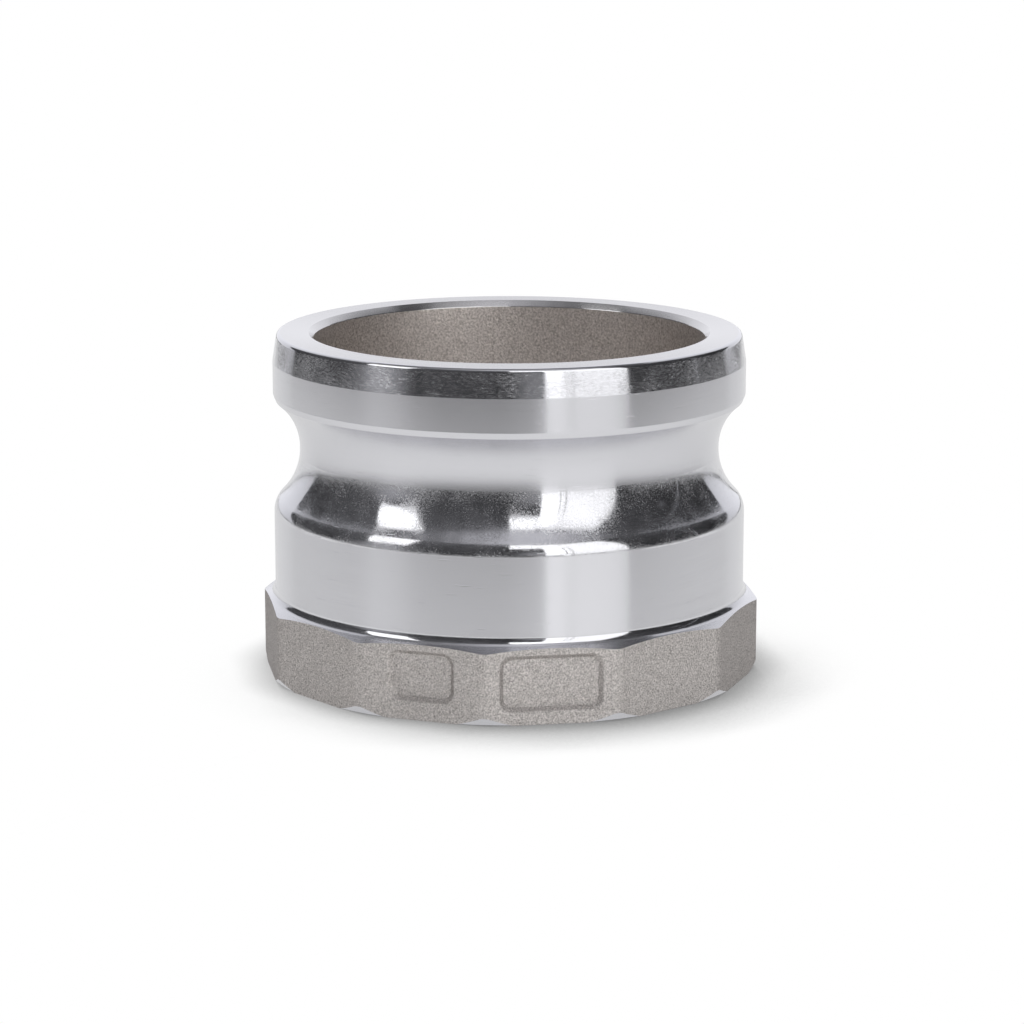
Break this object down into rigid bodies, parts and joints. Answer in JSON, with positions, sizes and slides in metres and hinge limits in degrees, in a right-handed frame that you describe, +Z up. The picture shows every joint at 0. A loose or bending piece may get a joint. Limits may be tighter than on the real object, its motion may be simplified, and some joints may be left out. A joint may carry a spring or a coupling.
{
  "type": "cam and groove hose adapter",
  "caption": "Cast aluminium cam and groove adapter: turned nose with a cam groove, open bore and a faceted wrench base round a female pipe thread.",
  "frame": {"origin": "on the bore axis at the bottom face of the socket end, which the fitting stands on", "axes": "+Z up along the bore axis towards the nose, -Y out of the flat with the wide recessed panel, +X to the right of that flat"},
  "size_m": [0.094, 0.094, 0.066],
  "materials": {
    "body_aluminium": "bright turned nose and groove, grainy as-cast base and bore",
    "seal_rubber": "matt black moulded nitrile"
  },
  "bodies": {
    "root": {"adapter_body": "body_aluminium", "thread_seal": "seal_rubber"}
  },
  "joints": []
}
